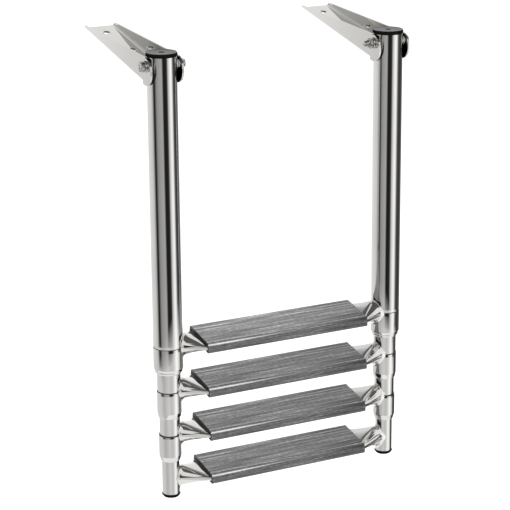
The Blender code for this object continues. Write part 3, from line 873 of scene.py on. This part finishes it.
def bracket_cutters(place):
    """(object, operation) for each step that shapes the channel, in order."""
    half, sheet, floor = BRACKET_HALF_WIDTH, BRACKET_SHEET, -BRACKET_DEPTH
    steps = []
    for turn in (1, -1):
        ear = []
        for x in (turn * half, turn * (half - sheet)):
            low, front = floor - sheet, -2 * EAR_RADIUS
            ear.append([(x, front, low), (x, EAR_BACK, low), (x, EAR_BACK, EAR_RADIUS),
                        (x, front, EAR_RADIUS)])
        steps.append((cutter("ear_stock", ear, place, BRACKET_TILT), "UNION"))
    outline = [[(x, s, n) for s, n in side_outline()] for x in (-2 * half, 2 * half)]
    steps.append((cutter("outline_stock", outline, place, BRACKET_TILT), "INTERSECT"))
    stretch = NOTCH_REACH / NOTCH_HALF_WIDTH
    notch = [[(x, y * stretch, z) for x, y, z in circle(NOTCH_HALF_WIDTH, height, 96)]
             for height in (2 * floor, 0.0)]
    steps.append((cutter("notch_stock", notch, place, 0.0), "DIFFERENCE"))
    drill = [circle(BOLT_HOLE_RADIUS, x, 48, "X") for x in (-2 * half, 2 * half)]
    steps.append((cutter("bolt_stock", drill, place, 0.0), "DIFFERENCE"))
    sink = SCREW_SINK_RADIUS - SCREW_HOLE_RADIUS
    for along, across in SCREW_HOLES:
        rings = [circle(SCREW_HOLE_RADIUS, floor - sheet, 48),
                 circle(SCREW_HOLE_RADIUS, floor + sheet - sink, 48),
                 circle(SCREW_SINK_RADIUS, floor + sheet, 48),
                 circle(SCREW_SINK_RADIUS, floor + 2 * sheet, 48)]
        tilted = Vector((across, along * math.cos(BRACKET_TILT), along * math.sin(BRACKET_TILT)))
        where = Vector(place) + tilted
        steps.append((cutter("screw_stock", rings, where, BRACKET_TILT), "DIFFERENCE"))
    return steps


def add_bracket(side, steel):
    """The bent, cut and drilled sheet with its edges eased."""
    node = f"{side}_hinge_bracket"
    place = (measures(node)[0].x, 0.0, 0.0)
    rings = [[(x, s, n) for x, n in channel_section()] for s in (EAR_BACK, BRACKET_LENGTH)]
    stock = cutter("channel_stock", rings, place, BRACKET_TILT)
    steps = bracket_cutters(place)
    for tool, operation in steps:
        modifier = stock.modifiers.new(tool.name, "BOOLEAN")
        modifier.operation = operation
        modifier.object = tool
        modifier.solver = "EXACT"
    ease = stock.modifiers.new("ease", "BEVEL")
    ease.width = BRACKET_EASE
    ease.segments = 3
    ease.limit_method = "ANGLE"
    ease.angle_limit = math.radians(35)
    ease.use_clamp_overlap = True
    bpy.context.view_layer.update()
    graph = bpy.context.evaluated_depsgraph_get()
    mesh = bpy.data.meshes.new_from_object(stock.evaluated_get(graph), depsgraph=graph)
    mesh.shade_smooth()
    keep_flats_flat(mesh)
    for tool in [stock] + [tool for tool, _ in steps]:
        bpy.data.objects.remove(tool, do_unlink=True)
    add_piece(f"{side}_bracket", mesh, node, steel, place, BRACKET_TILT)


def keep_flats_flat(mesh):
    """Weigh the normals by area, so that only the bends and eased edges are shaded round."""
    ways = [Vector() for _ in mesh.vertices]
    for face in mesh.polygons:
        for index in face.vertices:
            ways[index] += face.normal * face.area
    mesh.normals_split_custom_set_from_vertices([way.normalized() for way in ways])


def hexagon(across, height, segments, ease=1.0):
    """A hexagon round +X; ease below 1 pulls its corners in towards the circle across its flats."""
    points = []
    for i in range(segments):
        angle = 2 * math.pi * i / segments
        within = math.remainder(angle - math.pi / 6, math.pi / 3)
        radius = across / 2 * (1 + ease * (1 / math.cos(within) - 1))
        points.append((height, radius * math.cos(angle), radius * math.sin(angle)))
    return points


def add_bolt(side, steel):
    """A hex bolt with a chamfered head and a threaded end."""
    node = f"{side}_pivot_bolt"
    centre, size = measures(node)
    out = math.copysign(1.0, centre.x)
    top, end = size.x / 2, -size.x / 2
    seat = top - HEAD_THICKNESS
    across = HEAD_ACROSS

    def ring(radius, height):
        return circle(radius, out * height, HEX_POINTS, "X")

    def hexed(width, height, ease=1.0):
        return hexagon(width, out * height, HEX_POINTS, ease)

    rings = [ring(BOLT_RADIUS - 0.0009, end), ring(BOLT_RADIUS - 0.0001, end + 0.0009)]
    height = end + 0.0012
    while height < end + THREAD_LENGTH:
        rings.append(ring(BOLT_RADIUS, height))
        rings.append(ring(BOLT_RADIUS - THREAD_DEPTH, height + THREAD_PITCH / 2))
        height += THREAD_PITCH
    rings += [ring(BOLT_RADIUS, height), ring(BOLT_RADIUS, seat)]
    rings += [
        ring(0.46 * across, seat),
        ring(0.48 * across, seat + 0.0004),
        hexed(across, seat + 0.0005),
        hexed(across, top - 0.0011),
        hexed(across, top - 0.0008, 0.72),
        hexed(across * 0.985, top - 0.0004, 0.25),
        ring(0.475 * across, top - 0.0002),
        ring(0.45 * across, top),
        ring(0.30 * across, top - 0.0001),
        ring(0.27 * across, top - 0.0004),
        ring(0.05 * across, top - 0.0005),
    ]
    mesh = skin("bolt_mesh", rings)
    add_piece(f"{side}_hinge_bolt", mesh, node, steel, centre)


def add_nut(side, steel):
    """A locking nut: a hexagon with a rounded collar on its outer end."""
    node = f"{side}_pivot_nut"
    centre, size = measures(node)
    out = math.copysign(1.0, centre.x)
    near, far = size.x / 2, -size.x / 2
    hole = BOLT_RADIUS + GAP
    across = min(size.y, size.z)

    def ring(radius, height):
        return circle(radius, out * height, HEX_POINTS, "X")

    def hexed(width, height, ease=1.0):
        return hexagon(width, out * height, HEX_POINTS, ease)

    rings = [
        ring(hole, near),
        ring(0.46 * across, near),
        ring(0.48 * across, near - 0.0003),
        hexed(across, near - 0.0008),
        hexed(across, far + 0.0028),
        hexed(across * 0.99, far + 0.0022, 0.4),
        ring(0.455 * across, far + 0.0018),
        ring(0.445 * across, far + 0.0008),
        ring(0.40 * across, far + 0.0002),
        ring(0.36 * across, far),
        ring(hole + 0.0003, far),
        ring(hole, far + 0.0003),
    ]
    mesh = skin("nut_mesh", rings, closed=True)
    add_piece(f"{side}_hinge_nut", mesh, node, steel, centre)


def add_washer(side, word, steel):
    """A plain washer with rounded edges, under the bolt's head or the nut."""
    node = f"{side}_{word}_washer"
    centre, size = measures(node)
    half, outer, hole = size.x / 2, size.y / 2, BOLT_RADIUS + GAP
    shape = [
        (outer, half, 0.0004),
        (outer, -half, 0.0004),
        (hole, -half, 0.0002),
        (hole, half, 0.0002),
    ]
    mesh = turned("washer_mesh", rounded(shape, 4), WASHER_ROUND, closed=True, axis="X")
    add_piece(f"{side}_hinge_{word}_washer", mesh, node, steel, centre)


# ---------------------------------------------------------------- studio


def linear(level):
    """Linear light for an sRGB level of 0 to 255."""
    value = level / 255
    return ((value + 0.055) / 1.055) ** 2.4 if value > 0.04045 else value / 12.92


def add_camera():
    """The camera in front of the ladder, to its left and a little above it."""
    camera = bpy.data.cameras.new("camera")
    camera.lens = CAMERA_LENS
    camera.sensor_width = CAMERA_SENSOR
    camera.clip_end = 50.0
    holder = bpy.data.objects.new("camera", camera)
    bpy.context.scene.collection.objects.link(holder)
    ahead = Vector(
        (
            math.sin(CAMERA_YAW) * math.cos(CAMERA_PITCH),
            math.cos(CAMERA_YAW) * math.cos(CAMERA_PITCH),
            -math.sin(CAMERA_PITCH),
        )
    )
    right = Vector((math.cos(CAMERA_YAW), -math.sin(CAMERA_YAW), 0.0))
    up = right.cross(ahead)
    rolled = right * math.cos(CAMERA_ROLL) + up * math.sin(CAMERA_ROLL)
    upright = rolled.cross(ahead)
    turn = holder.matrix_world.to_3x3()
    turn.col[0], turn.col[1], turn.col[2] = rolled, upright, -ahead
    holder.matrix_world = turn.to_4x4()
    holder.location = CAMERA_PLACE
    bpy.context.scene.camera = holder


def add_tent():
    """A round wall of light and dark panels that only reflections see, as in a studio tent."""
    rings = [circle(TENT_RADIUS, height, 96) for height in (TENT_FOOT, TENT_BREAK, TENT_TOP)]
    rings.append(circle(0.01, TENT_TOP + 0.4, 96))
    shell = bmesh.new()
    loops = [[shell.verts.new(point) for point in ring] for ring in rings]
    for near, far in zip(loops, loops[1:]):
        for i in range(len(near)):
            j = (i + 1) % len(near)
            shell.faces.new((near[i], far[i], far[j], near[j]))
    tent = bpy.data.objects.new("studio_tent", finish_mesh("studio_tent", shell))
    bpy.context.scene.collection.objects.link(tent)
    tent.rotation_euler = (0, 0, math.radians(-90) - CAMERA_YAW)
    tent.visible_camera = False
    tent.visible_diffuse = False
    tent.visible_shadow = False
    tent.visible_transmission = False
    made = Shader("studio_tent_panels")
    around = made.nodes.new("ShaderNodeTexGradient")
    around.gradient_type = "RADIAL"
    made.link(made.space, around.inputs["Vector"])
    bands = []
    for band in (LOWER_BAND, UPPER_BAND, HIGH_BAND):
        stops = [(azimuth / 360 + 0.5, linear(level)) for azimuth, level in band]
        bands.append(made.ramp(around.outputs["Fac"], stops))
    height = made.split(made.space)["Z"]
    seen = made.mix(made.step(height, TENT_BREAK - 0.05, TENT_BREAK + 0.05), bands[0], bands[1])
    seen = made.mix(made.step(height, *TENT_HIGH), seen, bands[2])
    ceiling = (linear(CEILING),) * 3 + (1.0,)
    seen = made.mix(made.step(height, TENT_TOP - 0.02, TENT_TOP + 0.04), seen, ceiling)
    glow = made.nodes.new("ShaderNodeEmission")
    glow.inputs["Strength"].default_value = TENT_STRENGTH
    made.link(seen, glow.inputs["Color"])
    made.link(glow.outputs["Emission"], made.nodes["Material Output"].inputs["Surface"])
    tent.data.materials.append(made.material)
    tent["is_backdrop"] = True


def add_floor():
    """A plain pale floor."""
    bpy.ops.mesh.primitive_plane_add(size=60)
    floor = bpy.context.object
    floor.name = "studio_floor"
    floor.location = (0, 0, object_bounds()[0][2] - FLOOR_DROP)
    floor.visible_glossy = False
    made = Shader("studio_floor_white", Roughness=0.9)
    made.shader.inputs["Base Color"].default_value = (0.93, 0.93, 0.93, 1)
    made.set("Roughness", made.ramp(made.noise(3.0), ((0.3, 0.85), (0.7, 0.95))))
    floor.data.materials.append(made.material)
    floor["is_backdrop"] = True


def add_light():
    """A white sky that is brighter overhead, and one soft lamp in front."""
    world = bpy.data.worlds.new("studio_world")
    bpy.context.scene.world = world
    world.use_nodes = True
    nodes, links = world.node_tree.nodes, world.node_tree.links
    background = nodes["Background"]
    where = nodes.new("ShaderNodeTexCoord")
    split = nodes.new("ShaderNodeSeparateXYZ")
    sky = nodes.new("ShaderNodeMapRange")
    sky.inputs["From Min"].default_value = 0.0
    sky.inputs["From Max"].default_value = 1.0
    sky.inputs["To Min"].default_value = SKY_HORIZON
    sky.inputs["To Max"].default_value = SKY_ZENITH
    links.new(where.outputs["Generated"], split.inputs["Vector"])
    links.new(split.outputs["Z"], sky.inputs["Value"])
    links.new(sky.outputs["Result"], background.inputs["Strength"])
    background.inputs["Color"].default_value = (1, 1, 1, 1)
    lamp = bpy.data.lights.new("softbox", "AREA")
    lamp.energy = LAMP_ENERGY
    lamp.size = LAMP_SIZE
    holder = bpy.data.objects.new("softbox", lamp)
    bpy.context.scene.collection.objects.link(holder)
    holder.location = LAMP_PLACE
    holder.visible_glossy = False
    aim = Vector(LAMP_AIM) - holder.location
    holder.rotation_euler = aim.to_track_quat("-Z", "Y").to_euler()


# ---------------------------------------------------------------- the scene

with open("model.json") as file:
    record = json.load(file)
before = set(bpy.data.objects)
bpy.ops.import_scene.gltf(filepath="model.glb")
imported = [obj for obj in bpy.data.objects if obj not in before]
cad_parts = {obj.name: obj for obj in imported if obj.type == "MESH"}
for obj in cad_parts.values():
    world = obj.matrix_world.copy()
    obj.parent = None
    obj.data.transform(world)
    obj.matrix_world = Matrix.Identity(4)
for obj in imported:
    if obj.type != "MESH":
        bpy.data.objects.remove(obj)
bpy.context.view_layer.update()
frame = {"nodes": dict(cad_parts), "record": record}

steel = polished_steel("leg_polished_steel", haze=0.022)
# far=1.28 paints the brackets' colour brighter out along +Y, and ear_shade paints shade on the
# ears' inner faces.
sheet = polished_steel(
    "bracket_polished_steel",
    (14, 1.5, 14),
    (0.65, 0.64, 0.62),
    haze=0.06,
    far=1.28,
    wavy=0.02,
    tilt=BRACKET_TILT,
)
pressed = polished_steel("rung_polished_steel", (1.5, 14, 14), haze=0.07)
# The deep, dense mottle paints dark blotches on the bolts and nuts: painted reflection, standing in
# for the dark surroundings their faces reflect.
fitting = polished_steel(
    "fitting_polished_steel",
    (1, 1, 1),
    (0.74, 0.73, 0.71),
    haze=0.12,
    mottle=0.14,
    patch=330.0,
)
line = seam_line()
black = black_plastic()
grey = tread_plastic()
for side in SIDES:
    add_cap(side, black)
    add_foot(side, black)
    add_bracket(side, sheet)
    add_bolt(side, fitting)
    add_nut(side, fitting)
    for word in ("head", "nut"):
        add_washer(side, word, pressed)
    for stage in range(1, STAGES + 1):
        add_tube(side, stage, steel)
        if stage < STAGES:
            add_collar(side, stage, steel)
            add_seam(side, stage, line)
for stage in range(1, STAGES + 1):
    add_rung(stage, pressed)
    add_tread(stage, grey)

rest_of = {
    "polished_stainless": fitting,
    "black_plastic": black,
    "white_nylon": slide_nylon(),
    "grey_plastic": grey,
}
for part in frame["record"]["subparts"]:
    node = frame["nodes"][part["node"]]
    for slot in node.material_slots:
        slot.material = rest_of[part["material_slot"]]

bpy.context.scene.view_settings.view_transform = "Standard"
add_camera()
add_tent()
add_floor()
add_light()
